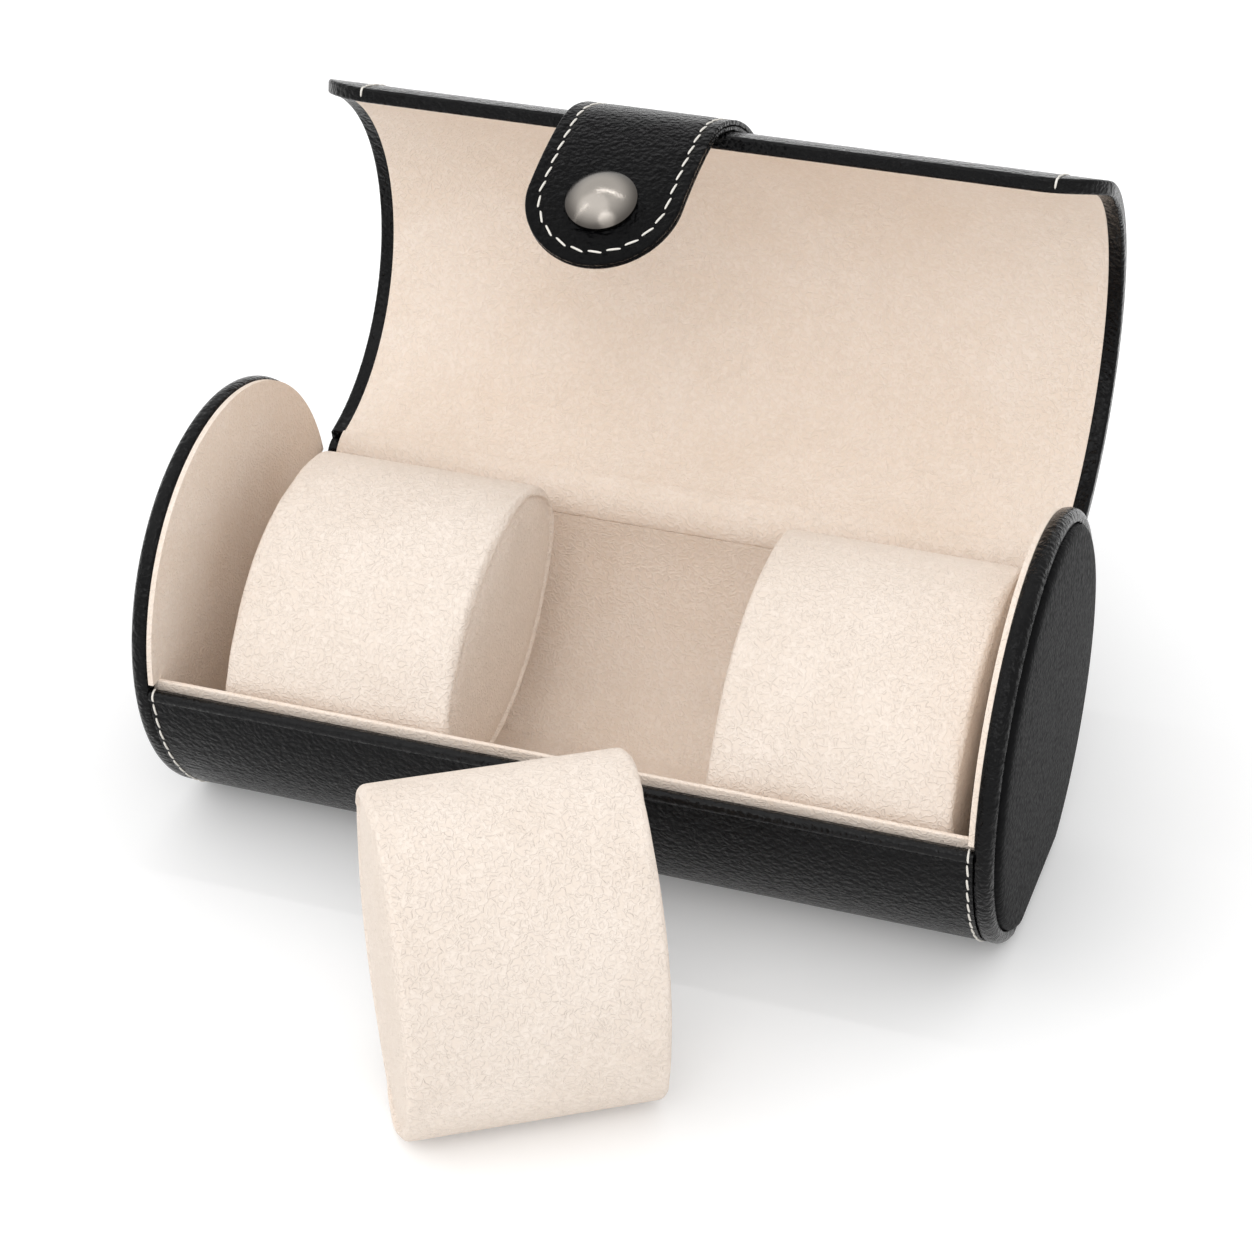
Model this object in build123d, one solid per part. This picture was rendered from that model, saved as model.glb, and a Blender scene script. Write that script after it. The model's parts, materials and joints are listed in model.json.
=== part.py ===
from build123d import *
import os
from math import asin, atan2, cos, degrees, hypot, radians, sin, sqrt, tan

# Sizes in millimetres and angles in degrees. X runs along the case, -Y is its front and Z is up.
# Angles in the cross-section turn from +Y (back) through +Z (top) to -Y (front).
case_radius = 46.0
case_length = 191.0
flat_width = 34.0
leather = 1.0
board = 2.0
lining = 1.0
layer_gap = 0.04
same_angle = 0.05
same_place = 0.001

# End caps: a leather hoop, a face disc set into it, a board and a lining disc
cap_hoop_width = 5.0
cap_lining_thickness = 1.2
cap_hoop_wall = 3.0
cap_face_thickness = 1.4
cap_face_set_in = 1.0
cap_groove = 0.5
cap_lining_set_in = 0.5
cap_edge_round = 1.1

# Tray: the lower half between the caps
rim_angle = 183.4
rim_turn_in = 2.2
rim_round = 1.2
tray_lining_above_rim = 2.0

# Lid: swings on the leather at the back, drawn standing open
hinge_angle = 14.0
hinge_half_gap_angle = 5.5
lid_open_angle = 97.5
lid_leather = 0.9
lid_board_thickness = 1.5
lid_lining_thickness = 0.8
lid_front_angle = 177.0
lid_end_gap = 0.4
lid_border = 3.4
lid_corner_radius = 14.0
lid_edge_round = 0.7
hinge_strip_inset = 3.0

# Strap: sewn to the lid, folded over its front edge, closed by a snap
strap_width = 33.6
strap_centre = -9.8
strap_layer = 1.2
strap_root_angle = 132.0
strap_start_angle = 176.4
strap_bend_length = 8.0
strap_bend_open = 24.0
strap_bend_closed = -8.0
strap_bend_gap = 0.8
strap_flap_length = 37.0
snap_reach = 22.0
strap_stand_off = 1.4
strap_seat_gap = 0.05

# Snap: domed cap and socket on the strap, stud on the tray
snap_cap_radius = 7.6
snap_cap_height = 2.8
snap_cap_lip = 0.7
snap_shank_radius = 1.9
socket_radius = 6.0
socket_bore_radius = 2.7
socket_height = 1.9
socket_web = 0.3
stud_flange_radius = 5.0
stud_flange_height = 0.35
stud_flange_sink = 0.4
stud_post_radius = 2.0
stud_post_height = 2.0
stud_bead_radius = 2.35
stud_bead_height = 0.8

# Watch pillows: an oval sleeve round a core, closed by a panel at each end
pillow_width = 53.0
pillow_height = 72.0
pillow_depth = 46.0
pillow_end_radius = 17.0
pillow_wall = 2.4
pillow_edge_round = 1.7
pillow_panel = 2.0
pillow_panel_set_in = 0.8
pillow_fit = 0.1
pillow_clearance = 0.3
pillow_seat_angle = 194.0
pillow_lean = 60.0
left_pillow_end_gap = 13.0
right_pillow_end_gap = 4.2
loose_pillow_x = 12.4
loose_pillow_distance = 49.4
loose_pillow_turn = 33.5
loose_pillow_lean = 20.0

# Values that follow from those above
axis_height = sqrt(case_radius ** 2 - (flat_width / 2) ** 2)
tray_half = case_length / 2 - cap_hoop_width
cap_inside = tray_half - cap_lining_thickness
lid_half = cap_inside - lid_end_gap
board_radius = case_radius - leather
tray_lining_radius = board_radius - board
tray_inside = tray_lining_radius - lining
lid_board_radius = case_radius - lid_leather
lid_lining_radius = lid_board_radius - lid_board_thickness
lid_inside = lid_lining_radius - lid_lining_thickness
hinge_radius = case_radius - leather / 2
tray_back_angle = 360 + hinge_angle - hinge_half_gap_angle
lid_back_angle = hinge_angle + hinge_half_gap_angle


def turn(length, radius):
    """Angle that a length takes up round a radius."""
    return degrees(length / radius)


def polar(radius, angle, centre=(0.0, 0.0)):
    """Point of the cross-section, as (Y, Z) from the case's axis unless a centre is given."""
    return (centre[0] + radius * cos(radians(angle)), centre[1] + radius * sin(radians(angle)))


def swing(point, about, angle):
    """Cross-section point turned about another one."""
    reach = hypot(point[0] - about[0], point[1] - about[1])
    start = degrees(atan2(point[1] - about[1], point[0] - about[0]))
    return polar(reach, start + angle, about)


def on_case(point, x=0.0):
    """Point of the cross-section as a place in space."""
    return (x, point[0], axis_height + point[1])


def slab(face, start, end):
    """Cross-section face drawn out along X."""
    section = Plane(origin=(start, 0, axis_height), x_dir=(0, 1, 0), z_dir=(1, 0, 0))
    return extrude(section * face, end - start)


def band(inner, outer, start, end, centre=(0.0, 0.0)):
    """Cross-section face between two arcs about one centre."""
    size = end - start
    return make_face([
        CenterArc(centre, outer, start, size),
        Line(polar(outer, end, centre), polar(inner, end, centre)),
        CenterArc(centre, inner, start, size),
        Line(polar(inner, start, centre), polar(outer, start, centre)),
    ])


def disc(radius):
    """Cross-section of the case at a depth below its outside, with the flat that it stands on."""
    flat = axis_height - (case_radius - radius)
    return Circle(radius) & Pos(0, radius - flat) * Rectangle(2 * radius, 2 * radius)


def tray_layer(inner, outer, start, end):
    """One layer of the tray's wall, the whole way between the caps."""
    sector = band(inner / 2, case_radius * 2, start, end)
    return slab((disc(outer) - disc(inner)) & sector, -tray_half, tray_half)


def angle_of(shape):
    """Angle of a shape's centre in the cross-section."""
    centre = shape.center()
    return degrees(atan2(centre.Z - axis_height, centre.Y)) % 360


def edges_at(part, angle):
    """Straight edges along X that lie at an angle of the cross-section."""
    return [edge for edge in part.edges().filter_by(Axis.X) if abs(angle_of(edge) - angle) < same_angle]


def rings_at(part, x):
    """All edges that lie in one plane across X."""
    return [edge for edge in part.edges()
            if max(abs(edge.bounding_box().min.X - x), abs(edge.bounding_box().max.X - x)) < same_place]


def aimed(point, angle, x):
    """Frame at a cross-section point, with its Z pointing out at an angle."""
    away = (0, cos(radians(angle)), sin(radians(angle)))
    return Plane(origin=on_case(point, x), x_dir=(1, 0, 0), z_dir=away)


def post(radius, low, high):
    """Round bar along Z between two heights."""
    return Pos(0, 0, low) * Cylinder(radius, high - low, align=(Align.CENTER, Align.CENTER, Align.MIN))


hinge_point = polar(hinge_radius, hinge_angle)
hinge_axis = Axis(on_case(hinge_point), (1, 0, 0))


def opened(part):
    """Piece of the lid, drawn closed, swung to where the open lid stands."""
    return part.rotate(hinge_axis, -lid_open_angle)


# Route of the strap in the closed lid's place: root, bend over the edge, curled flap
strap_middle = case_radius + strap_seat_gap + strap_layer
bend_point = polar(strap_middle, strap_start_angle)
bend_radius = strap_bend_length / radians(strap_bend_open)
bend_centre = polar(strap_middle - bend_radius, strap_start_angle)
flap_angle = strap_start_angle + strap_bend_open
flap_point = polar(bend_radius, flap_angle, bend_centre)

# The flap's curl makes its middle layer touch the snap's circle just at the snap
flap_point_closed = swing(flap_point, bend_point, strap_bend_closed - strap_bend_open)
flap_start_reach = hypot(*flap_point_closed)
snap_circle = case_radius + strap_stand_off + strap_layer
curl_radius = snap_circle / (1 - (flap_start_reach ** 2 - snap_circle ** 2) / snap_reach ** 2)
curl_centre = polar(bend_radius - curl_radius, flap_angle, bend_centre)
snap_turn = 2 * degrees(asin(snap_reach / 2 / curl_radius))
snap_angle = flap_angle + snap_turn
snap_point = polar(curl_radius, snap_angle, curl_centre)
stud_angle = (degrees(atan2(flap_point_closed[1], flap_point_closed[0])) % 360
              + degrees(asin(curl_radius * sin(radians(snap_turn)) / flap_start_reach)))
strap_press_angle = stud_angle - snap_turn - strap_start_angle - strap_bend_closed


def make_tray():
    """Leather skin turned in over the front rim, board and lining of the tray."""
    board_start = rim_angle + turn(rim_turn_in, case_radius)
    skin = tray_layer(board_radius, case_radius, rim_angle, tray_back_angle)
    rolled = slab(band(tray_lining_radius + layer_gap, case_radius, rim_angle, board_start),
                  -tray_half, tray_half)
    skin = fillet(edges_at(skin + rolled, rim_angle), rim_round)
    stiffener = tray_layer(tray_lining_radius + layer_gap, board_radius - layer_gap,
                           board_start + turn(layer_gap, board_radius), tray_back_angle)
    lining_start = rim_angle - turn(tray_lining_above_rim, case_radius)
    cloth = tray_layer(tray_inside, tray_lining_radius, lining_start, tray_back_angle)
    cloth = fillet(edges_at(cloth, lining_start), lining / 2.5)
    stud = aimed(polar(case_radius, stud_angle), stud_angle, strap_centre)
    skin -= stud * post(stud_flange_radius + layer_gap, -stud_flange_sink - layer_gap, board)
    return {"tray_leather": skin, "tray_board": stiffener, "tray_lining": cloth}


def make_cap(side):
    """Hoop, face, board and lining of the cap on one side, -1 for left and 1 for right."""
    hoop_inside = case_radius - cap_hoop_wall
    outside = tray_half + cap_hoop_width
    face_start = outside - cap_face_set_in - cap_face_thickness
    hoop = slab(disc(case_radius) - disc(hoop_inside), tray_half, outside)
    hoop = fillet(rings_at(hoop, outside), cap_edge_round)
    face = slab(disc(hoop_inside - cap_groove), face_start, outside - cap_face_set_in)
    face = fillet(rings_at(face, outside - cap_face_set_in), cap_face_thickness / 2)
    stiffener = slab(disc(hoop_inside - layer_gap), tray_half, face_start)
    cloth = slab(disc(case_radius - cap_lining_set_in), cap_inside, tray_half - layer_gap)
    wall_start = rim_angle - turn(tray_lining_above_rim + layer_gap, case_radius)
    wall = band(tray_inside / 2, case_radius * 2, wall_start, tray_back_angle + hinge_half_gap_angle)
    cloth -= slab((disc(case_radius) - disc(tray_inside - layer_gap)) & wall, cap_inside, tray_half)
    pieces = {"hoop": hoop, "face": face, "board": stiffener, "lining": cloth}
    name = "left" if side < 0 else "right"
    if side < 0:
        pieces = {key: mirror(piece, Plane.YZ) for key, piece in pieces.items()}
    return {f"{name}_cap_{key}": piece for key, piece in pieces.items()}


def lid_panel(inner, outer, half, border, corner):
    """Curved panel of the closed lid, set in by a border at its ends and front, corners rounded."""
    front = lid_front_angle - turn(border, case_radius)
    end = half - border
    panel = slab(band(inner, outer, lid_back_angle, front), -end, end)
    offcut = Pos(end, 0) * Rectangle(2 * corner, 2 * corner) - Pos(end - corner, corner) * Circle(corner)
    offcut = extrude(aimed(polar(case_radius, front), front, 0.0) * offcut, 2 * corner, both=True)
    return panel - offcut - mirror(offcut, Plane.YZ)


def free_edges(cover):
    """Edges of the lid's outside and inside along its front, its ends and its corners."""
    front = [edge for edge in cover.edges() if abs(angle_of(edge) - lid_front_angle) < same_angle
             and edge.length > lid_half]
    ends = rings_at(cover, lid_half) + rings_at(cover, -lid_half)
    ends = [edge for edge in ends if edge.geom_type == GeomType.CIRCLE]
    corners = [edge for edge in cover.edges() if edge.geom_type not in (GeomType.LINE, GeomType.CIRCLE)]
    return front + ends + corners


def make_lid():
    """Leather turned in round the lid's edge, with the board and the lining inside its border."""
    pocket_corner = lid_corner_radius - lid_border
    cover = lid_panel(lid_inside, case_radius, lid_half, 0.0, lid_corner_radius)
    cover = fillet(free_edges(cover), lid_edge_round)
    cover -= lid_panel(lid_inside - lid_border, lid_board_radius, lid_half, lid_border, pocket_corner)
    inset = lid_border + layer_gap
    stiffener = lid_panel(lid_lining_radius + layer_gap, lid_board_radius - layer_gap, lid_half,
                          inset, pocket_corner)
    cloth = lid_panel(lid_inside, lid_lining_radius, lid_half, inset, pocket_corner)
    pieces = {"lid_leather": cover, "lid_board": stiffener, "lid_lining": cloth}
    return {name: opened(piece) for name, piece in pieces.items()}


def make_hinge():
    """Leather and lining strips that bend where the tray's back edge meets the lid's."""
    bend = lid_open_angle - 2 * hinge_half_gap_angle
    offset = hinge_radius * sin(radians(hinge_half_gap_angle))
    pivot_reach = hinge_radius * cos(radians(hinge_half_gap_angle)) + offset / tan(radians(bend / 2))
    pivot = polar(pivot_reach, tray_back_angle)
    end_gap = turn(layer_gap, pivot_reach - case_radius)
    start = tray_back_angle - 180 - bend + end_gap
    end = tray_back_angle - 180 - end_gap
    half = lid_half - hinge_strip_inset
    outer = band(pivot_reach - case_radius, pivot_reach - board_radius, start, end, pivot)
    inner = band(pivot_reach - tray_lining_radius, pivot_reach - tray_inside, start, end, pivot)
    return {"hinge_leather": slab(outer, -half, half), "hinge_lining": slab(inner, -half, half)}


def strap_strip(inner, outer, start, end, centre):
    """Stretch of the strap at its full width."""
    low, high = strap_centre - strap_width / 2, strap_centre + strap_width / 2
    return slab(band(inner, outer, start, end, centre), low, high)


def make_strap():
    """Root on the lid, bend over its edge, two-layer flap with a round end, cap and socket."""
    root_end = strap_start_angle - turn(strap_bend_gap, strap_middle)
    root = strap_strip(strap_middle - strap_layer, strap_middle + strap_layer,
                       strap_root_angle, root_end, (0.0, 0.0))
    bend_end = flap_angle - turn(strap_bend_gap, bend_radius)
    bend = strap_strip(bend_radius - strap_layer, bend_radius + strap_layer,
                       strap_start_angle, bend_end, bend_centre)
    tip_angle = flap_angle + turn(strap_flap_length, curl_radius)
    snap_frame = aimed(snap_point, snap_angle, strap_centre)
    tip_room = curl_radius * sin(radians(tip_angle - snap_angle)) - strap_width / 2
    outline = Pos(0, -tip_room) * Circle(strap_width / 2)
    outline += Pos(0, strap_flap_length - tip_room) * Rectangle(strap_width, 2 * strap_flap_length)
    trim = extrude(snap_frame * outline, strap_flap_length, both=True)
    outer = strap_strip(curl_radius, curl_radius + strap_layer, flap_angle, tip_angle, curl_centre)
    inner = strap_strip(curl_radius - strap_layer, curl_radius - layer_gap,
                        flap_angle, tip_angle, curl_centre)
    top = strap_layer
    outer = (outer & trim) - snap_frame * post(snap_shank_radius + layer_gap, -top, 2 * top)
    inner = (inner & trim) - snap_frame * post(socket_radius + layer_gap, -2 * top, top)
    dome_radius = (snap_cap_radius ** 2 + snap_cap_height ** 2) / (2 * snap_cap_height)
    ball = Pos(0, 0, snap_cap_height - dome_radius) * Sphere(dome_radius)
    dome = ball & post(snap_cap_radius, 0, snap_cap_height)
    cap = Pos(0, 0, top + snap_cap_lip) * dome + post(snap_cap_radius, top, top + snap_cap_lip)
    cap += post(snap_shank_radius, 0, top + snap_cap_lip)
    cup_top = -socket_radius ** 2 / (2 * curl_radius) - layer_gap
    cup = post(socket_radius, cup_top - socket_height, cup_top)
    cup -= post(socket_bore_radius, cup_top - 2 * socket_height, cup_top - socket_web)
    cup -= post(snap_shank_radius + layer_gap, cup_top - socket_height, 0)
    pieces = {"strap_root": root, "strap_bend": bend, "strap_leather": outer, "strap_backing": inner,
              "snap_cap": snap_frame * cap, "snap_socket": snap_frame * cup}
    return {name: opened(piece) for name, piece in pieces.items()}


def make_stud():
    """Stud on the front of the tray, where the strap's socket meets it."""
    stud = post(stud_flange_radius, -stud_flange_sink, stud_flange_height)
    stud += post(stud_post_radius, 0, stud_post_height)
    stud += post(stud_bead_radius, stud_post_height - stud_bead_height, stud_post_height)
    return {"snap_stud": aimed(polar(case_radius, stud_angle), stud_angle, strap_centre) * stud}


def oval(inset):
    """Pillow's oval section, drawn as four arcs, set in from its outside all round."""
    long_half, short_half = pillow_height / 2, pillow_depth / 2
    end_centre = long_half - pillow_end_radius
    side_radius = (end_centre ** 2 + short_half ** 2 - pillow_end_radius ** 2) / (
        2 * (short_half - pillow_end_radius))
    side_centre = side_radius - short_half
    lean = degrees(atan2(end_centre, side_centre))
    end_arc, side_arc = pillow_end_radius - inset, side_radius - inset
    return make_face([
        CenterArc((-side_centre, 0), side_arc, -lean, 2 * lean),
        CenterArc((0, end_centre), end_arc, lean, 180 - 2 * lean),
        CenterArc((side_centre, 0), side_arc, 180 - lean, 2 * lean),
        CenterArc((0, -end_centre), end_arc, 180 + lean, 180 - 2 * lean),
    ])


def make_pillow(name, place):
    """Sleeve, core and end panels of one watch pillow."""
    half = pillow_width / 2
    panel_out = half - pillow_panel_set_in
    panel_in = panel_out - pillow_panel

    def block(inset, start, end):
        section = Plane(origin=(start, 0, 0), x_dir=(0, 1, 0), z_dir=(1, 0, 0))
        return extrude(section * oval(inset), end - start)

    sleeve = block(0.0, -half, half)
    sleeve = fillet(rings_at(sleeve, half) + rings_at(sleeve, -half), pillow_edge_round)
    sleeve -= block(pillow_wall, -half, half)
    inside = pillow_wall + pillow_fit
    pieces = {
        "cover": sleeve,
        "core": block(inside, pillow_fit - panel_in, panel_in - pillow_fit),
        "left_panel": block(inside, -panel_out, -panel_in),
        "right_panel": block(inside, panel_in, panel_out),
    }
    return {f"{name}_{key}": place * piece for key, piece in pieces.items()}


def make_pillows():
    """Two pillows lying in the tray and a third one standing by itself in front of it."""
    low_end = polar(tray_inside - pillow_clearance - pillow_end_radius, pillow_seat_angle)
    middle = polar(pillow_height / 2 - pillow_end_radius, 90 - pillow_lean, low_end)
    seat = Pos(*on_case(middle)) * Rot(-pillow_lean, 0, 0)
    reach = cap_inside - pillow_width / 2
    pieces = make_pillow("left_pillow", Pos(left_pillow_end_gap - reach, 0, 0) * seat)
    pieces |= make_pillow("right_pillow", Pos(reach - right_pillow_end_gap, 0, 0) * seat)
    leaning = Rot(0, 0, loose_pillow_turn) * Rot(-loose_pillow_lean, 0, 0)
    loose = make_pillow("loose_pillow", leaning)
    lift = -loose["loose_pillow_cover"].bounding_box().min.Z
    stand = Pos(loose_pillow_x, -case_radius - loose_pillow_distance, lift)
    return pieces | {name: stand * piece for name, piece in loose.items()}


parts = make_tray() | make_cap(-1) | make_cap(1) | make_lid() | make_hinge()
parts |= make_strap() | make_stud() | make_pillows()
os.makedirs("parts", exist_ok=True)
for name, part in parts.items():
    export_step(part, f"parts/{name}.step")

print("axis height", round(axis_height, 3), "hinge", [round(v, 3) for v in on_case(hinge_point)])
for name, point in (("strap fold", bend_point), ("strap press", flap_point)):
    print(name, "axis", [round(v, 3) for v in on_case(swing(point, hinge_point, -lid_open_angle))])
print("strap press angle", round(strap_press_angle, 3), "stud angle", round(stud_angle, 3),
      "curl radius", round(curl_radius, 2))
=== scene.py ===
import json
from math import asin, atan2, cos, degrees, hypot, pi, radians, sin, sqrt, tan

import bmesh
import bpy
from mathutils import Matrix, Vector


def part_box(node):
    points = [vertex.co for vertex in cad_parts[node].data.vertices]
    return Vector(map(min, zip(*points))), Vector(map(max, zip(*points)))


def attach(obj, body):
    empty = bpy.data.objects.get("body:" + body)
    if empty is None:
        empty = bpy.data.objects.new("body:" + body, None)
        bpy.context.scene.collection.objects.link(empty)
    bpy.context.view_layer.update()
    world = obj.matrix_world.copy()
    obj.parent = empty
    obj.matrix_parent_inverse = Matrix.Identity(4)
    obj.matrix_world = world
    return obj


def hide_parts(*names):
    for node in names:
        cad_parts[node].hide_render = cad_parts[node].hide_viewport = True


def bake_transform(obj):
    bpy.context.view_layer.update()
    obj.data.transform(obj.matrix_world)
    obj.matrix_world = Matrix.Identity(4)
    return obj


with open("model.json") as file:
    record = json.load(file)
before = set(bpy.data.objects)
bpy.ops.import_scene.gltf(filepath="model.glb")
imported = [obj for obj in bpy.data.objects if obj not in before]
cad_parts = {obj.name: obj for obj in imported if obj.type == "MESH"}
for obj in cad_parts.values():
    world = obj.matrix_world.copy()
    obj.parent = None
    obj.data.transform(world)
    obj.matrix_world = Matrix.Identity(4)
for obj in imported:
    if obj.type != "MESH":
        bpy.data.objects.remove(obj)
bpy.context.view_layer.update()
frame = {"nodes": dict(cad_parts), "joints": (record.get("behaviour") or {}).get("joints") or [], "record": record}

# Sizes in metres, angles in degrees. X runs along the case, -Y is its front and Z is up.
# Angles in the cross-section turn from +Y (back) through +Z (top) to -Y (front).
# Corners nearer than same_place are one, and edges past sharp_edge get a round. A finished mesh is
# smooth up to its crease angle: plain, for leather that is bent or turned, or for what has no crease.
MM = 0.001
same_place = 0.001 * MM
sharp_edge = 60.0
plain_crease = 35.0
bent_crease = 50.0
no_crease = 180.0
case_radius = 46.0 * MM
flat_width = 34.0 * MM
tray_wall = 3.0 * MM
lid_wall = 3.2 * MM
rim_angle = 183.4
rim_round = 1.2 * MM
lid_front_angle = 177.0
lid_edge_round = 0.7 * MM
lid_border = 3.4 * MM
tray_back_angle = 368.5
lid_back_angle = 19.5
hinge_radius = 45.5 * MM
hinge_edge_round = 0.3 * MM
hinge_round_steps = 3

# Sections of a cap's hoop and of its face: millimetres out from the tray, and in from the case's outside
hoop_profile = ((0.02, 0.55), (0.3, 0.2), (0.9, 0.0), (1.6, -0.1), (2.3, -0.05), (2.9, 0.15), (3.4, 0.5),
                (3.8, 1.1), (3.95, 1.8), (3.85, 2.5), (3.5, 2.95), (2.5, 3.0), (0.02, 3.0))
face_profile = ((2.6, 46.0), (2.6, 3.05), (3.6, 3.05), (4.3, 3.2), (4.8, 3.7), (5.1, 4.5), (5.25, 5.6),
                (5.4, 8.5), (5.6, 14.0), (5.8, 24.0), (5.9, 36.0), (5.92, 46.0))
cap_steps = 144

# Roll that the tray's leather makes where it turns in over the front rim
rim_roll = 1.35 * MM
rim_roll_sunk = 1.0 * MM
rim_roll_rise = 0.35 * MM
rim_roll_sides = 24

# Strap, as it lies along the lid's outside and over its front edge. Its two layers are bent from flat grids.
strap_layer = 1.2 * MM
strap_layer_gap = 0.05 * MM
strap_seat_gap = 0.05 * MM
strap_root_angle = 132.0
strap_start_angle = 176.4
strap_bend_length = 8.0 * MM
strap_bend_open = 24.0
strap_flap_length = 37.0 * MM
strap_curl_radius = 80.1 * MM
strap_edge_round = 0.4 * MM
strap_top_grid = 0.45 * MM
strap_underside_grid = 3 * strap_top_grid
strap_round_steps = 3
strap_split = 4.0 * MM
strap_flex = 1.6 * MM
socket_hole = 6.05 * MM

# Sewing: thread, stitches and the dent that a row of them draws in the leather.
# A stitch stands proud by its rise, its ends dive into the leather, and a little of its section is left
# there, all as shares of the thread.
thread_width = 0.48 * MM
thread_height = 0.5 * MM
thread_sides = 8
thread_cuts = 7
stitch_rise = 0.12
stitch_dive = 0.6
stitch_tip = 0.02
stitch_pitch = 4.0 * MM
stitch_gap = 0.35 * MM
stitch_slant = 9.0
seam_slant = 5.0
strap_stitch_inset = 3.0 * MM
seam_dent = 0.28 * MM
seam_dent_width = 0.75 * MM
tray_stitch_end = 1.0 * MM
tray_seam_over = 1.2 * MM
lid_seam_over = 1.6 * MM
lid_stitch_x = (-76.0 * MM, 79.0 * MM)

# Watch pillows: an oval sleeve with a panel sewn in at each end.
# Each ring of a panel is a share of the one outside it.
pillow_width = 53.0 * MM
pillow_height = 72.0 * MM
pillow_depth = 46.0 * MM
pillow_end_radius = 17.0 * MM
pillow_edge_round = 1.5 * MM
pillow_lip = 0.5 * MM
pillow_seam = 0.4 * MM
pillow_panel_set_in = 0.9 * MM
pillow_sides = 112
pillow_cuts = 17
pillow_round_steps = 5
panel_rings = (0.9, 0.83, 0.8, 0.75, 0.66, 0.5)
pillow_lean = 60.0
loose_pillow_lean = 20.0
loose_pillow_turn = 33.5

# Padding: the suede starts a little small and is blown up as cloth, many times its size so that the solver
# holds it steady. No point of it moves further than the swell.
pillow_shrink = 0.35 * MM
pillow_swell = 0.55 * MM
swell_scale = 20.0
swell_pressure = 4.0
swell_frames = 20

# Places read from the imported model
joint_of = {joint["name"]: joint for joint in frame["joints"]}
hinge = Vector(joint_of["lid_hinge"]["pos_m"])
lid_open = joint_of["lid_hinge"]["range_deg"][1]
strap_low, strap_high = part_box("strap_root")
socket_low, socket_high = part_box("snap_socket")
strap_centre = (strap_low.x + strap_high.x) / 2
strap_half = (strap_high.x - strap_low.x) / 2
tray_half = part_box("tray_leather")[1].x
lid_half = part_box("lid_leather")[1].x
axis_height = sqrt(case_radius ** 2 - (flat_width / 2) ** 2)


def hex_colour(code):
    """sRGB hex code as linear red, green, blue and alpha."""
    parts = [int(code[i:i + 2], 16) / 255 for i in (1, 3, 5)]
    return [p / 12.92 if p <= 0.04045 else ((p + 0.055) / 1.055) ** 2.4 for p in parts] + [1.0]


def add(tree, kind, values=None, links=None, **options):
    """New shader node with its options, input values and input links."""
    made = tree.nodes.new(kind)
    for name, value in options.items():
        setattr(made, name, value)
    for name, value in (values or {}).items():
        made.inputs[name].default_value = value
    for name, source in (links or {}).items():
        tree.links.new(source, made.inputs[name])
    return made


def new_material(name, **surface):
    """Material with one shader, its plain inputs set, and the object's own coordinates."""
    made = bpy.data.materials.new(name)
    made.use_nodes = True
    tree = made.node_tree
    tree.nodes.clear()
    plain = {socket.replace("_", " "): value for socket, value in surface.items()}
    shader = add(tree, "ShaderNodeBsdfPrincipled", plain)
    add(tree, "ShaderNodeOutputMaterial", links={"Surface": shader.outputs["BSDF"]})
    place = add(tree, "ShaderNodeTexCoord").outputs["Object"]
    return made, tree, shader, place


def grained_leather(name, dark, light, grain_mm, crease_mm, depth_mm, roughness, gleam):
    """Coated black leather, rolled to a fine grain: small pebbles and creases that break up its gloss.
    The pebbles are drawn a little coarser than real ones, so that they show."""
    made, tree, shader, place = new_material(name, IOR=1.5, Specular_IOR_Level=gleam)
    warp_pull = 0.0012
    pebble_share = -0.55
    warp = add(tree, "ShaderNodeTexNoise", {"Scale": 1 / (3 * grain_mm * MM), "Detail": 2.0},
               {"Vector": place})
    bent = add(tree, "ShaderNodeMix", {"Factor": warp_pull}, data_type="VECTOR")
    tree.links.new(place, bent.inputs["A"])
    tree.links.new(warp.outputs["Color"], bent.inputs["B"])
    pebble = add(tree, "ShaderNodeTexVoronoi", {"Scale": 1 / (grain_mm * MM), "Smoothness": 0.35},
                 {"Vector": bent.outputs[1]}, feature="SMOOTH_F1")
    crease = add(tree, "ShaderNodeTexNoise",
                 {"Scale": 1 / (crease_mm * MM), "Detail": 4.0, "Distortion": 1.6}, {"Vector": place})
    height = add(tree, "ShaderNodeMath", {1: pebble_share},
                 {0: pebble.outputs["Distance"], 2: crease.outputs["Fac"]}, operation="MULTIPLY_ADD")
    bump = add(tree, "ShaderNodeBump", {"Strength": 0.8, "Distance": depth_mm * MM},
               {"Height": height.outputs[0]})
    tone = add(tree, "ShaderNodeMix", {"A": hex_colour(dark), "B": hex_colour(light)},
               {"Factor": crease.outputs["Fac"]}, data_type="RGBA")
    gloss = add(tree, "ShaderNodeMapRange", {"To Min": roughness[0], "To Max": roughness[1]},
                {"Value": pebble.outputs["Distance"]})
    tree.links.new(tone.outputs[2], shader.inputs["Base Color"])
    tree.links.new(gloss.outputs[0], shader.inputs["Roughness"])
    tree.links.new(bump.outputs[0], shader.inputs["Normal"])
    return made


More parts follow.
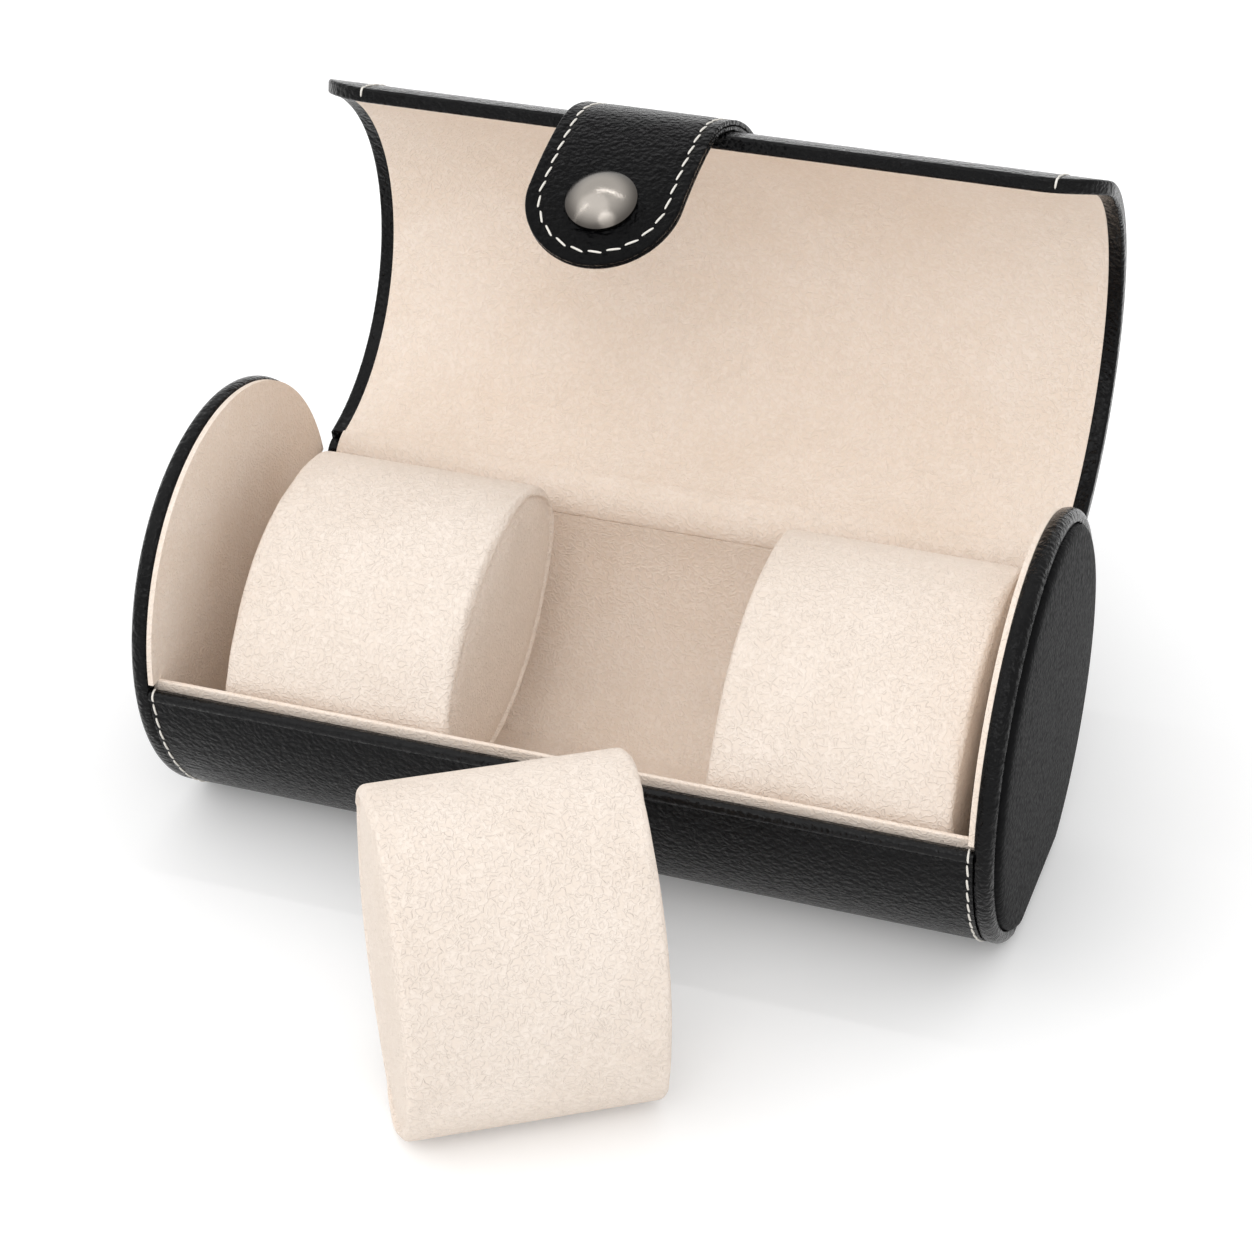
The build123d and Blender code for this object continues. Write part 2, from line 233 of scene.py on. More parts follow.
def napped_suede(name, shade, light, ridge_mm, depth_mm):
    """Cream microfibre suede: a short brushed nap that lies in fine worm-like ridges and drifts in tone.
    The ridges are drawn coarser than real ones, so that they show."""
    made, tree, shader, place = new_material(
        name, Roughness=0.92, Specular_IOR_Level=0.15, Sheen_Weight=0.25, Sheen_Roughness=0.5,
        Sheen_Tint=hex_colour("#FFF3E6"))
    brush_mm = 22
    fold_at = 0.5
    ridge_from = 0.36
    ridge_share = 0.35
    waves = add(tree, "ShaderNodeTexNoise",
                {"Scale": 1 / (ridge_mm * MM), "Detail": 0.5, "Distortion": 0.5}, {"Vector": place})
    folded = add(tree, "ShaderNodeMath", {1: fold_at}, {0: waves.outputs["Fac"]}, operation="PINGPONG")
    ridges = add(tree, "ShaderNodeMapRange", {"From Min": ridge_from, "From Max": fold_at},
                 {"Value": folded.outputs[0]}, interpolation_type="SMOOTHSTEP")
    brushed = add(tree, "ShaderNodeTexNoise",
                  {"Scale": 1 / (brush_mm * MM), "Detail": 3.0, "Distortion": 0.6}, {"Vector": place})
    drift = add(tree, "ShaderNodeMath", {1: ridge_share},
                {0: ridges.outputs[0], 2: brushed.outputs["Fac"]}, operation="MULTIPLY_ADD")
    spread = add(tree, "ShaderNodeMapRange", {"From Min": 0.3, "From Max": 1.05},
                 {"Value": drift.outputs[0]})
    tone = add(tree, "ShaderNodeMix", {"A": hex_colour(shade), "B": hex_colour(light)},
               {"Factor": spread.outputs[0]}, data_type="RGBA")
    bump = add(tree, "ShaderNodeBump", {"Strength": 1.0, "Distance": depth_mm * MM},
               {"Height": ridges.outputs[0]})
    tree.links.new(tone.outputs[2], shader.inputs["Base Color"])
    tree.links.new(bump.outputs[0], shader.inputs["Normal"])
    return made


def polished_nickel():
    """Nickel-plated press stud: a bright polish with a faint haze of handling marks, and a painted reflection in
    its colour, bright at its middle and painted darker towards its rim.
    """
    made, tree, shader, place = new_material("polished_nickel", Metallic=1.0)
    # Painted reflection: the colour is bright within the first distance of the stud's middle and painted dark
    # beyond the second
    painted_bright_to_mm = 4.2
    painted_shade_from_mm = 7.8
    mark_mm = 1.2
    low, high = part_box("snap_cap")
    out = add(tree, "ShaderNodeVectorMath", {1: (low + high) / 2}, {0: place}, operation="DISTANCE")
    painted_rim_shade = add(tree, "ShaderNodeMapRange", {"From Min": painted_bright_to_mm * MM, "From Max": painted_shade_from_mm * MM},
               {"Value": out.outputs["Value"]}, interpolation_type="SMOOTHSTEP")
    # Painted reflection: bright nickel at the middle, painted darker towards the rim
    tone = add(tree, "ShaderNodeMix", {"A": hex_colour("#A39D96"), "B": hex_colour("#4E4A46")},
               {"Factor": painted_rim_shade.outputs[0]}, data_type="RGBA")
    marks = add(tree, "ShaderNodeTexNoise", {"Scale": 1 / (mark_mm * MM), "Detail": 5.0}, {"Vector": place})
    haze = add(tree, "ShaderNodeMapRange",
               {"From Min": 0.35, "From Max": 0.75, "To Min": 0.18, "To Max": 0.28},
               {"Value": marks.outputs["Fac"]})
    tree.links.new(tone.outputs[2], shader.inputs["Base Color"])
    tree.links.new(haze.outputs[0], shader.inputs["Roughness"])
    return made


def grey_board():
    """Pressed grey board: matt, with short pale and dark paper fibres."""
    made, tree, shader, place = new_material("grey_board", Roughness=0.95)
    fibre_mm = 0.8
    fibres = add(tree, "ShaderNodeTexNoise",
                 {"Scale": 1 / (fibre_mm * MM), "Detail": 4.0, "Distortion": 2.0}, {"Vector": place})
    tone = add(tree, "ShaderNodeMix", {"A": hex_colour("#6E6860"), "B": hex_colour("#A39B90")},
               {"Factor": fibres.outputs["Fac"]}, data_type="RGBA")
    tree.links.new(tone.outputs[2], shader.inputs["Base Color"])
    return made


def waxed_thread():
    """Off-white waxed polyester thread: soft gloss, its twist drawn as small lumps and tones."""
    made, tree, shader, place = new_material("waxed_thread", Roughness=0.55)
    twist_mm = 0.45
    twist_depth_mm = 0.08
    twist = add(tree, "ShaderNodeTexNoise", {"Scale": 1 / (twist_mm * MM), "Detail": 1.0}, {"Vector": place})
    tone = add(tree, "ShaderNodeMix", {"A": hex_colour("#D9D3C8"), "B": hex_colour("#FBF8F2")},
               {"Factor": twist.outputs["Fac"]}, data_type="RGBA")
    bump = add(tree, "ShaderNodeBump", {"Strength": 0.4, "Distance": twist_depth_mm * MM},
               {"Height": twist.outputs["Fac"]})
    tree.links.new(tone.outputs[2], shader.inputs["Base Color"])
    tree.links.new(bump.outputs[0], shader.inputs["Normal"])
    return made


# One kind of hide in five finishes: satin on the tray, glossier on the lid, its hinge and the hoops,
# burnished on the rim's roll, matt on the faces of the caps, and with a deeper grain on the strap
tray_hide = grained_leather("tray_leather", "#060607", "#101011", grain_mm=1.2, crease_mm=3.0,
                            depth_mm=0.45, roughness=(0.16, 0.36), gleam=0.11)
trim_hide = grained_leather("trim_leather", "#040405", "#0B0B0C", grain_mm=1.1, crease_mm=2.6,
                            depth_mm=0.5, roughness=(0.09, 0.22), gleam=0.13)
edge_hide = grained_leather("burnished_leather", "#040405", "#0A0A0B", grain_mm=1.0, crease_mm=2.4,
                            depth_mm=0.35, roughness=(0.08, 0.18), gleam=0.2)
face_hide = grained_leather("face_leather", "#0A0A0B", "#161617", grain_mm=0.9, crease_mm=4.5,
                            depth_mm=0.3, roughness=(0.42, 0.68), gleam=0.045)
strap_hide = grained_leather("strap_leather", "#020203", "#070708", grain_mm=1.1, crease_mm=2.4,
                             depth_mm=0.75, roughness=(0.1, 0.26), gleam=0.07)
lining_suede = napped_suede("lining_suede", "#F0DFCF", "#F7EADE", ridge_mm=1.05, depth_mm=0.1)
pillow_suede = napped_suede("pillow_suede", "#E9DBCE", "#F3E7DC", ridge_mm=1.05, depth_mm=0.12)
snap_metal = polished_nickel()
stiffener = grey_board()
thread = waxed_thread()

finish_of = {"black_leather": tray_hide, "lining_suede": lining_suede, "pillow_suede": pillow_suede,
             "stiffener": stiffener, "pillow_core": stiffener, "snap_metal": snap_metal}
hide_of = {"lid_leather": trim_hide}
for part in frame["record"]["subparts"]:
    slots = frame["nodes"][part["node"]].data.materials
    slots.clear()
    slots.append(hide_of.get(part["node"], finish_of[part["material_slot"]]))


def finished(mesh, name, finish, crease=plain_crease):
    """Object made of a bmesh, smooth but for edges sharper than the crease angle."""
    bmesh.ops.recalc_face_normals(mesh, faces=mesh.faces)
    data = bpy.data.meshes.new(name)
    mesh.to_mesh(data)
    mesh.free()
    data.shade_smooth()
    data.set_sharp_from_angle(angle=radians(crease))
    data.materials.append(finish)
    made = bpy.data.objects.new(name, data)
    bpy.context.scene.collection.objects.link(made)
    return made


def polar(radius, angle, centre=(0.0, 0.0)):
    """Point of the cross-section, as (Y, Z) from the case's axis unless a centre is given."""
    return (centre[0] + radius * cos(radians(angle)), centre[1] + radius * sin(radians(angle)))


def on_tray(point, x):
    """Cross-section point as a place in space."""
    return Vector((x, point[0], axis_height + point[1]))


def on_lid(point, x):
    """Cross-section point of the closed lid, swung to where the open lid stands."""
    swing = Matrix.Rotation(-radians(lid_open), 3, "X")
    return hinge + swing @ (on_tray(point, x) - hinge)


def round_edge(along, lift, radius, edge_angle, way, bend, wall):
    """Point over a curved wall and its rounded edge, a distance along from where the round starts.
    Ahead of that it follows the wall's outside, and behind it the round and then the edge's face."""
    start = edge_angle + way * degrees(bend / (radius - bend))
    if along >= 0:
        return polar(radius + lift, start + way * degrees(along / radius))
    centre = polar(radius - bend, start)
    quarter = bend * pi / 2
    if along >= -quarter:
        return polar(bend + lift, start + way * degrees(along / bend), centre)
    corner = polar(bend + lift, start - way * 90, centre)
    inward = min(-along - quarter, wall - 2 * bend)
    return polar(inward, start + 180, corner)


# Route of the strap in the closed lid's place: root, bend over the edge, curled flap
strap_middle = case_radius + strap_seat_gap + strap_layer
root_length = strap_middle * radians(strap_start_angle - strap_root_angle)
bend_radius = strap_bend_length / radians(strap_bend_open)
bend_centre = polar(strap_middle - bend_radius, strap_start_angle)
flap_angle = strap_start_angle + strap_bend_open
curl_centre = polar(bend_radius - strap_curl_radius, flap_angle, bend_centre)
press_at = root_length + strap_bend_length
strap_end = press_at + strap_flap_length


def strap_place(across, along, lift):
    """Point of the strap from its flat pattern: across it, along it from its sewn end, above its middle."""
    if along < root_length:
        point = polar(strap_middle + lift, strap_root_angle + degrees(along / strap_middle))
    elif along < press_at:
        angle = strap_start_angle + degrees((along - root_length) / bend_radius)
        point = polar(bend_radius + lift, angle, bend_centre)
    else:
        angle = flap_angle + degrees((along - press_at) / strap_curl_radius)
        point = polar(strap_curl_radius + lift, angle, curl_centre)
    return on_lid(point, strap_centre + across)


def from_strap_edge(across, along):
    """Distance in from the strap's outline, whose far end is round and whose sewn end is square."""
    tip = strap_end - strap_half
    if along > tip:
        return strap_half - hypot(across, along - tip)
    return min(strap_half - abs(across), along)


def strap_sheet(low, high, step):
    """Flat strip with a round end, between two heights, its rims rounded."""
    mesh = bmesh.new()
    columns, rows = round(2 * strap_half / step), round(strap_end / step)
    bmesh.ops.create_grid(mesh, x_segments=columns, y_segments=rows, size=1.0)
    tip = strap_end - strap_half
    for vert in mesh.verts:
        across, along = vert.co.x * strap_half, (vert.co.y + 1) / 2 * strap_end
        if along > tip:
            u, v = across / strap_half, (along - tip) / strap_half
            across, along = strap_half * u * sqrt(1 - v * v / 2), tip + strap_half * v * sqrt(1 - u * u / 2)
        vert.co = (across, along, low)
    base = list(mesh.faces)
    bmesh.ops.reverse_faces(mesh, faces=base)
    raised = bmesh.ops.extrude_face_region(mesh, geom=base, use_keep_orig=True)["geom"]
    top = [item for item in raised if isinstance(item, bmesh.types.BMVert)]
    bmesh.ops.translate(mesh, vec=(0, 0, high - low), verts=top)
    bmesh.ops.recalc_face_normals(mesh, faces=mesh.faces)
    rims = [edge for edge in mesh.edges
            if len(edge.link_faces) == 2 and edge.calc_face_angle() > radians(sharp_edge)
            and abs(edge.verts[0].co.z - edge.verts[1].co.z) < strap_edge_round / 2]
    bmesh.ops.bevel(mesh, geom=rims, offset=strap_edge_round, segments=strap_round_steps, profile=0.5,
                    affect="EDGES", material=-1)
    return mesh


def dent_along_seam(mesh, top):
    """Draws the leather in along the row of stitches, and less the further from it."""
    for vert in mesh.verts:
        if vert.co.z > top - strap_edge_round / 2:
            inset = from_strap_edge(vert.co.x, vert.co.y)
            off = (inset - strap_stitch_inset) / seam_dent_width
            vert.co.z -= seam_dent / (1 + off * off)


def along_flap(point):
    """Distance along the strap of a place on its open flap."""
    closed = hinge + Matrix.Rotation(radians(lid_open), 3, "X") @ (point - hinge)
    angle = degrees(atan2(closed.z - axis_height - curl_centre[1], closed.y - curl_centre[0])) % 360
    return press_at + strap_curl_radius * radians(angle - flap_angle)


def punch(mesh, along):
    """Round hole through a flat strap layer, for the socket of the snap."""
    centre = Vector((0.0, along))
    inside = [face for face in mesh.faces if (face.calc_center_median().xy - centre).length < socket_hole]
    bmesh.ops.delete(mesh, geom=inside, context="FACES")
    rim = [edge for edge in mesh.edges if edge.is_boundary]
    for vert in {vert for edge in rim for vert in edge.verts}:
        vert.co.xy = centre + socket_hole * (vert.co.xy - centre).normalized()
    bmesh.ops.bridge_loops(mesh, edges=rim)


def make_strap():
    """Strap in two stretches, parted in the middle of its bend, each of two leather layers."""
    layers = {"strap_top": (0.0, strap_layer, strap_top_grid),
              "strap_underside": (-strap_layer, -strap_layer_gap, strap_underside_grid)}
    cut = root_length + strap_split
    made = []
    for layer, (low, high, step) in layers.items():
        for stretch, keep in (("root", -1), ("flap", 1)):
            mesh = strap_sheet(low, high, step)
            if layer == "strap_top":
                dent_along_seam(mesh, high)
            else:
                punch(mesh, along_flap((socket_low + socket_high) / 2))
            geom = list(mesh.verts) + list(mesh.edges) + list(mesh.faces)
            bmesh.ops.bisect_plane(mesh, geom=geom, plane_co=(0, cut, 0), plane_no=(0, keep, 0),
                                   clear_inner=True)
            for vert in mesh.verts:
                vert.co = strap_place(*vert.co)
            made.append(finished(mesh, f"{layer}_{stretch}", strap_hide, crease=bent_crease))
    return made


def thread_blank():
    """Straight piece of thread of unit size along Z, with rings enough to bend."""
    mesh = bmesh.new()
    bmesh.ops.create_cone(mesh, cap_ends=True, segments=thread_sides, radius1=0.5, radius2=0.5, depth=1.0)
    lengthwise = [edge for edge in mesh.edges if abs(edge.verts[0].co.z - edge.verts[1].co.z) > 0.5]
    bmesh.ops.subdivide_edges(mesh, edges=lengthwise, cuts=thread_cuts)
    data = bpy.data.meshes.new("thread_blank")
    mesh.to_mesh(data)
    mesh.free()
    return data


blank = thread_blank()


def stitch(mesh, place, length):
    """One stitch: a thread that dives into the leather at both ends, laid by place(side, along, lift)."""
    first = len(mesh.verts)
    mesh.from_mesh(blank)
    mesh.verts.ensure_lookup_table()
    for vert in mesh.verts[first:]:
        share = 2 * vert.co.z
        fat = sqrt(max(1 - share ** 4, stitch_tip))
        lift = thread_height * (vert.co.y * fat - stitch_dive * share ** 4 + stitch_rise)
        vert.co = place(thread_width * vert.co.x * fat, length * vert.co.z, lift)


def strap_seam(distance):
    """Point and heading on the strap's row of stitches: up one side, round the tip, down the other."""
    side = strap_half - strap_stitch_inset
    tip = strap_end - strap_half
    straight = tip - strap_stitch_inset
    if distance < straight:
        return (-side, strap_stitch_inset + distance), 90.0
    if distance < straight + pi * side:
        angle = 180 - degrees((distance - straight) / side)
        return (side * cos(radians(angle)), tip + side * sin(radians(angle))), angle - 90
    return (side, tip - (distance - straight - pi * side)), -90.0


def make_strap_stitches():
    """White stitches all round the strap, parted with it in the middle of its bend."""
    side = strap_half - strap_stitch_inset
    length = 2 * (strap_end - strap_half - strap_stitch_inset) + pi * side
    count = round(length / stitch_pitch)
    pitch = length / count
    rows = {"root": bmesh.new(), "flap": bmesh.new()}
    for index in range(count):
        middle, heading = strap_seam((index + 0.5) * pitch)
        mesh = rows["root" if middle[1] < root_length + strap_split else "flap"]

        def place(across, along, lift, middle=middle, heading=heading):
            angle = radians(heading + stitch_slant)
            flat = (middle[0] + along * cos(angle) - across * sin(angle),
                    middle[1] + along * sin(angle) + across * cos(angle))
            return strap_place(*flat, strap_layer - seam_dent + lift)

        stitch(mesh, place, pitch - stitch_gap)
    return [finished(mesh, f"strap_stitches_{name}", thread, crease=no_crease) for name, mesh in rows.items()]


def seam_row(name, x_places, surface, start, end):
    """Rows of stitches round the case at the given places along it, between two distances on its surface."""
    mesh = bmesh.new()
    count = round((end - start) / stitch_pitch)
    pitch = (end - start) / count
    for x in x_places:
        for index in range(count):
            middle = start + (index + 0.5) * pitch

            def place(across, along, lift, x=x, middle=middle):
                return surface(middle + along, lift, x + across + along * tan(radians(seam_slant)))

            stitch(mesh, place, pitch - stitch_gap)
    return finished(mesh, name, thread, crease=no_crease)


def tray_surface(along, lift, x):
    """Place on the tray's leather, along it from the front rim and over its roll."""
    rise = rim_roll_rise * min(max(1 - along / rim_roll, 0.0), 1.0)
    return on_tray(round_edge(along, lift + rise, case_radius, rim_angle, 1, rim_round, tray_wall), x)


def lid_surface(along, lift, x):
    """Place on the open lid's leather, along it from its front edge."""
    return on_lid(round_edge(along, lift, case_radius, lid_front_angle, -1, lid_edge_round, lid_wall), x)


def make_seams():
    """Rows of stitches at both ends of the tray and of the lid, each with the body it rides on."""
    ends = (tray_stitch_end - tray_half, tray_half - tray_stitch_end)
    flat_start = 270 - degrees(asin(flat_width / 2 / case_radius))
    front = case_radius * radians(flat_start - rim_angle) - stitch_pitch
    back_start = front + flat_width + 2 * stitch_pitch
    back_end = case_radius * radians(tray_back_angle - rim_angle) - stitch_pitch / 2
    lid_end = case_radius * radians(lid_front_angle - lid_back_angle)
    over_rim = -rim_round * pi / 2 - tray_seam_over
    over_edge = -lid_edge_round * pi / 2 - lid_seam_over
    return (("tray", seam_row("tray_front_stitches", ends, tray_surface, over_rim, front)),
            ("tray", seam_row("tray_back_stitches", ends, tray_surface, back_start, back_end)),
            ("lid", seam_row("lid_stitches", lid_stitch_x, lid_surface, over_edge, lid_end)))


def oval(angle):
    """Point of the pillow's four-arc oval whose outward direction has this angle."""
    long_half, short_half = pillow_height / 2 - pillow_shrink, pillow_depth / 2 - pillow_shrink
    end_radius = pillow_end_radius - pillow_shrink
    end_centre = long_half - end_radius
    side_radius = (end_centre ** 2 + short_half ** 2 - end_radius ** 2) / (2 * (short_half - end_radius))
    side_centre = side_radius - short_half
    lean = atan2(end_centre, side_centre)
    x, y = cos(angle), sin(angle)
    if abs(atan2(abs(x), abs(y))) < lean:
        return (side_radius * x, side_radius * y - side_centre * (1 if y > 0 else -1))
    return (end_radius * x + end_centre * (1 if x > 0 else -1), end_radius * y)


def pillow_form():
    """Sleeve, seam lips and set-in end panels of a pillow as one closed mesh, before it swells."""
    mesh = bmesh.new()
    width = pillow_width - 2 * pillow_shrink
    bmesh.ops.create_cone(mesh, cap_ends=True, segments=pillow_sides, radius1=1.0, radius2=1.0, depth=width)
    for vert in mesh.verts:
        vert.co.x, vert.co.y = oval(atan2(vert.co.y, vert.co.x))
    lengthwise = [edge for edge in mesh.edges if abs(edge.verts[0].co.z - edge.verts[1].co.z) > width / 2]
    bmesh.ops.subdivide_edges(mesh, edges=lengthwise, cuts=pillow_cuts)
    rims = [edge for edge in mesh.edges if any(len(face.verts) > 4 for face in edge.link_faces)]
    bmesh.ops.bevel(mesh, geom=rims, offset=pillow_edge_round, segments=pillow_round_steps, profile=0.5,
                    affect="EDGES", material=-1)
    ends = [face for face in mesh.faces if len(face.verts) > 4]
    for thickness, depth in ((pillow_lip, 0.0), (pillow_seam, -pillow_panel_set_in), (pillow_seam, 0.0)):
        bmesh.ops.inset_region(mesh, faces=ends, thickness=thickness, depth=depth, use_even_offset=True)
    seam = {vert for face in ends for vert in face.verts}
    for share in panel_rings:
        bmesh.ops.inset_individual(mesh, faces=ends, thickness=0.0)
        bmesh.ops.scale(mesh, vec=(share, share, 1.0), verts=[vert for face in ends for vert in face.verts])
    bmesh.ops.rotate(mesh, verts=mesh.verts, matrix=Matrix.Rotation(pi / 2, 3, "Y"))
    return mesh, seam


def swollen_pillow():
    """Pillow whose suede is blown up by the padding: cloth under pressure, held at its panels' seams."""
    mesh, seam = pillow_form()
    mesh.verts.index_update()
    held = [vert.index for vert in seam]
    pad = bpy.data.meshes.new("pillow_pad")
    mesh.to_mesh(pad)
    mesh.free()
    blown = bpy.data.objects.new("swelling_pillow", pad.copy())
    bpy.context.scene.collection.objects.link(blown)
    blown.data.transform(Matrix.Scale(swell_scale, 4))
    blown.vertex_groups.new(name="seam").add(held, 1.0, "REPLACE")
    cloth = blown.modifiers.new("padding", "CLOTH")
    cloth.settings.use_pressure = True
    cloth.settings.uniform_pressure_force = swell_pressure
    cloth.settings.vertex_group_mass = "seam"
    cloth.settings.effector_weights.gravity = 0.0
    for step in range(1, swell_frames + 1):
        bpy.context.scene.frame_set(step)
    swell = blown.evaluated_get(bpy.context.evaluated_depsgraph_get()).to_mesh()
    for vert, moved in zip(pad.vertices, swell.vertices):
        move = moved.co / swell_scale - vert.co
        vert.co += move * min(1.0, pillow_swell / max(move.length, same_place))
    bpy.data.objects.remove(blown)
    bpy.context.scene.frame_set(1)
    return pad


def make_pillow(name, turning):
    """Padded suede pillow in the place of its sleeve, core and panels."""
    low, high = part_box(f"{name}_cover")
    mesh = bmesh.new()
    mesh.from_mesh(pillow_pad)
    bmesh.ops.transform(mesh, matrix=Matrix.Translation((low + high) / 2) @ turning, verts=mesh.verts)
    piece = finished(mesh, f"{name}_pad", pillow_suede, crease=no_crease)
    smoother = piece.modifiers.new("smoother", "SUBSURF")
    smoother.levels = smoother.render_levels = 1
    return piece


def turned_cap(name, side, profile, finish):
    """Ring or disc of a cap, turned about the case's axis from a closed profile and flat underneath."""
    mesh = bmesh.new()
    ring = [mesh.verts.new((side * (tray_half + out * MM), 0.0, case_radius - sunk * MM))
            for out, sunk in profile]
    edges = [mesh.edges.new((ring[i - 1], ring[i])) for i in range(len(ring))]
    bmesh.ops.spin(mesh, geom=ring + edges, axis=(1, 0, 0), angle=2 * pi, steps=cap_steps, use_merge=True)
    bmesh.ops.remove_doubles(mesh, verts=mesh.verts, dist=same_place)
    for vert in mesh.verts:
        sunk = case_radius - hypot(vert.co.y, vert.co.z)
        vert.co.z = max(vert.co.z + axis_height, sunk)
    return finished(mesh, name, finish, crease=bent_crease)


def make_rim_roll():
    """Roll of leather along the tray's front rim, between the two hoops."""
    mesh = bmesh.new()
    bmesh.ops.create_cone(mesh, cap_ends=True, segments=rim_roll_sides, radius1=rim_roll, radius2=rim_roll,
                          depth=2 * tray_half)
    bmesh.ops.rotate(mesh, verts=mesh.verts, matrix=Matrix.Rotation(pi / 2, 3, "Y"))
    sunk = degrees((rim_roll - rim_roll_rise) / case_radius)
    place = on_tray(polar(case_radius - rim_roll_sunk, rim_angle + sunk), 0.0)
    bmesh.ops.translate(mesh, vec=place, verts=mesh.verts)
    return finished(mesh, "rim_roll", edge_hide)


def make_hinge():
    """Leather and lining of the living hinge, bent between the tray's back edge and the lid's."""
    made = {}
    for node, finish, half in (("hinge_leather", trim_hide, lid_half),
                               ("hinge_lining", lining_suede, lid_half - lid_border)):
        mesh = bmesh.new()
        mesh.from_mesh(frame["nodes"][node].data)
        bmesh.ops.remove_doubles(mesh, verts=mesh.verts, dist=same_place)
        bmesh.ops.scale(mesh, vec=(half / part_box(node)[1].x, 1.0, 1.0), verts=mesh.verts)
        rims = [edge for edge in mesh.edges if edge.calc_face_angle(0.0) > radians(sharp_edge)]
        bmesh.ops.bevel(mesh, geom=rims, offset=hinge_edge_round, segments=hinge_round_steps, profile=0.5,
                        affect="EDGES", material=-1, clamp_overlap=True)
        made[node] = finished(mesh, node.replace("hinge", "bending_hinge"), finish)
    return made


for piece in make_strap() + make_strap_stitches():
    if "root" in piece.name:
        start = strap_place(0, root_length - strap_flex, 0)
        end = strap_place(0, root_length + strap_flex, 0)
        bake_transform(piece)
    else:
        start = strap_place(0, press_at - strap_flex, 0)
        end = strap_place(0, press_at + strap_flex, 0)
        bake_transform(piece)
    if piece.name == "strap_top_root":
        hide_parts("strap_root", "strap_bend")
    if piece.name == "strap_top_flap":
        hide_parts("strap_leather", "strap_backing")

for body, piece in make_seams():
    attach(piece, body)

pillow_pad = swollen_pillow()
seat = Matrix.Rotation(-radians(pillow_lean), 4, "X")
tipped = Matrix.Rotation(-radians(loose_pillow_lean), 4, "X")
standing = Matrix.Rotation(radians(loose_pillow_turn), 4, "Z") @ tipped
for name, turning in (("left_pillow", seat), ("right_pillow", seat), ("loose_pillow", standing)):
    pad = make_pillow(name, turning)
    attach(pad, name)
    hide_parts(*[f"{name}_{piece}" for piece in ("cover", "core", "left_panel", "right_panel")])

for name, side in (("left", -1), ("right", 1)):
    for part, profile, finish in (("hoop", hoop_profile, trim_hide), ("face", face_profile, face_hide)):
        piece = turned_cap(f"{name}_{part}_wrap", side, profile, finish)
        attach(piece, "tray")
        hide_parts(f"{name}_cap_{part}")

roll = make_rim_roll()
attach(roll, "tray")

for node, piece in make_hinge().items():
    on_lid(polar(hinge_radius, lid_back_angle), 0.0)
    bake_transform(piece)
    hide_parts(node)


def background_ray(tree):
    """One for rays that show the background: straight from the camera, mirrored or through glass."""
    ray = add(tree, "ShaderNodeLightPath").outputs
    shown = add(tree, "ShaderNodeMath", links={0: ray["Is Camera Ray"], 1: ray["Is Glossy Ray"]},
                operation="MAXIMUM")
    return add(tree, "ShaderNodeMath", links={0: shown.outputs[0], 1: ray["Is Transmission Ray"]},
               operation="MAXIMUM").outputs[0]


# Floor, light and camera. The paper's glow grows between the two ends of its reach from the case.
floor_size = 12.0
paper_glow = (0.16, 0.35)
paper_reach = (0.1, 0.35)
studio_level = 0.82
lamp_target = (0.0, 0.0, 0.06)
view_place = (191.54 * MM, -529.44 * MM, 395.36 * MM)
view_azimuth = 19.7
view_elevation = 31.65
view_roll = -0.36
photo_pixels = 1254.0
focal_pixels = 3060.87


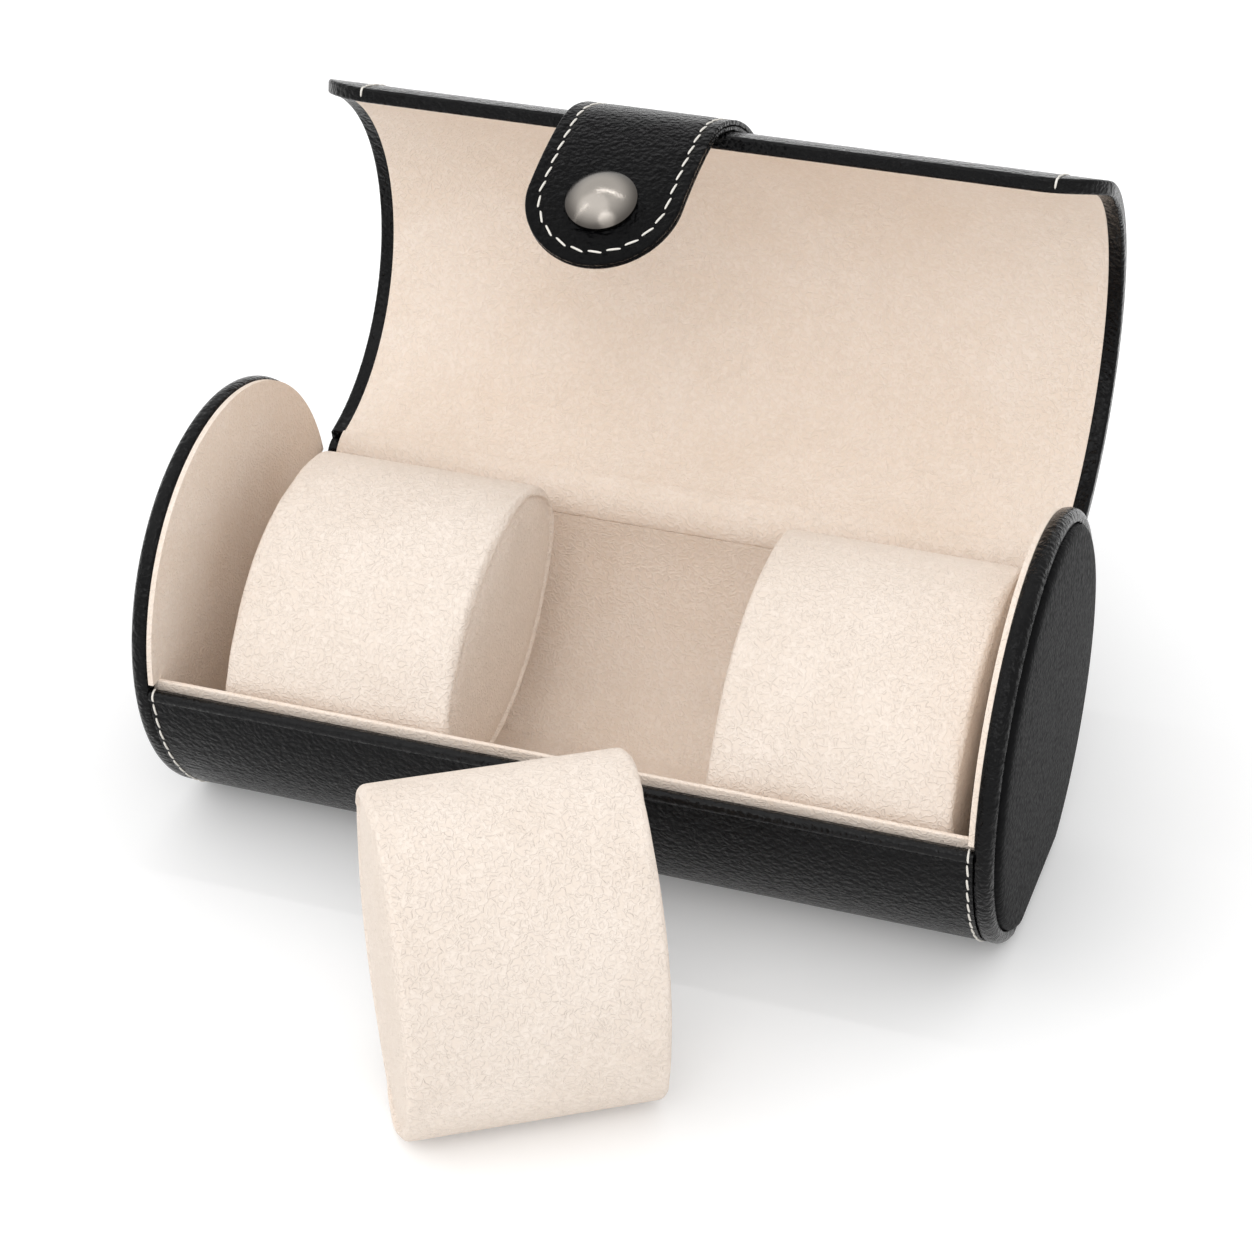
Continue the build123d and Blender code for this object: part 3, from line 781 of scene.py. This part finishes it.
def white_paper():
    """Matt white studio paper with a painted glow, seen straight and in mirrors, that grows away from the case so
    that the paper fades to white beyond the case's shadow.
    """
    made, tree, shader, place = new_material("white_paper", Roughness=0.9, Specular_IOR_Level=0.0,
                                             Base_Color=hex_colour("#F4F4F4"))
    away = add(tree, "ShaderNodeVectorMath", links={0: place}, operation="LENGTH")
    level = add(tree, "ShaderNodeMapRange",
                {"From Min": paper_reach[0], "From Max": paper_reach[1],
                 "To Min": paper_glow[0], "To Max": paper_glow[1]}, {"Value": away.outputs["Value"]})
    glow = add(tree, "ShaderNodeMath", links={0: background_ray(tree), 1: level.outputs[0]},
               operation="MULTIPLY")
    lit = add(tree, "ShaderNodeEmission", links={"Strength": glow.outputs[0]})
    both = add(tree, "ShaderNodeAddShader", links={0: shader.outputs[0], 1: lit.outputs[0]})
    tree.links.new(both.outputs[0], tree.nodes["Material Output"].inputs["Surface"])
    return made


def lamp(name, watts, place, **options):
    """Soft studio lamp at a place, pointed at the middle of the case."""
    data = bpy.data.lights.new(name, "AREA")
    data.energy = watts
    for option, value in options.items():
        setattr(data, option, value)
    made = bpy.data.objects.new(name, data)
    made.location = place
    made.rotation_euler = (Vector(lamp_target) - Vector(place)).to_track_quat("-Z", "Y").to_euler()
    bpy.context.scene.collection.objects.link(made)


sheet = bmesh.new()
bmesh.ops.create_grid(sheet, x_segments=1, y_segments=1, size=floor_size / 2)
floor = finished(sheet, "floor", white_paper())

world = bpy.data.worlds.new("studio")
world.use_nodes = True
studio = world.node_tree
level = add(studio, "ShaderNodeMapRange", {"To Min": studio_level, "To Max": 1.0},
            {"Value": background_ray(studio)})
studio.links.new(level.outputs[0], studio.nodes["Background"].inputs["Strength"])
studio.nodes["Background"].inputs["Color"].default_value = (1.0, 1.0, 1.0, 1.0)
bpy.context.scene.world = world

lamp("key_softbox", 3.4, (-0.5, -0.6, 1.1), size=1.6, shape="DISK")
lamp("front_softbox", 2.9, (0.25, -0.95, 0.9), size=0.75, shape="DISK")
lamp("top_strip", 0.8, (0.0, 0.2, 1.15), size=0.9, size_y=0.03, shape="RECTANGLE")
lamp("side_strip", 0.5, (-0.8, -0.45, 0.55), size=0.03, size_y=1.0, shape="RECTANGLE")

camera = bpy.data.cameras.new("photo_camera")
camera.sensor_width = 36.0
camera.lens = camera.sensor_width * focal_pixels / photo_pixels
camera.clip_start = 0.01
viewer = bpy.data.objects.new("photo_camera", camera)
viewer.location = view_place
viewer.rotation_euler = (
    Matrix.Rotation(radians(view_azimuth), 3, "Z") @ Matrix.Rotation(radians(90 - view_elevation), 3, "X")
    @ Matrix.Rotation(radians(view_roll), 3, "Z")).to_euler()
bpy.context.scene.collection.objects.link(viewer)
bpy.context.scene.camera = viewer

bpy.context.scene.view_settings.view_transform = "Standard"
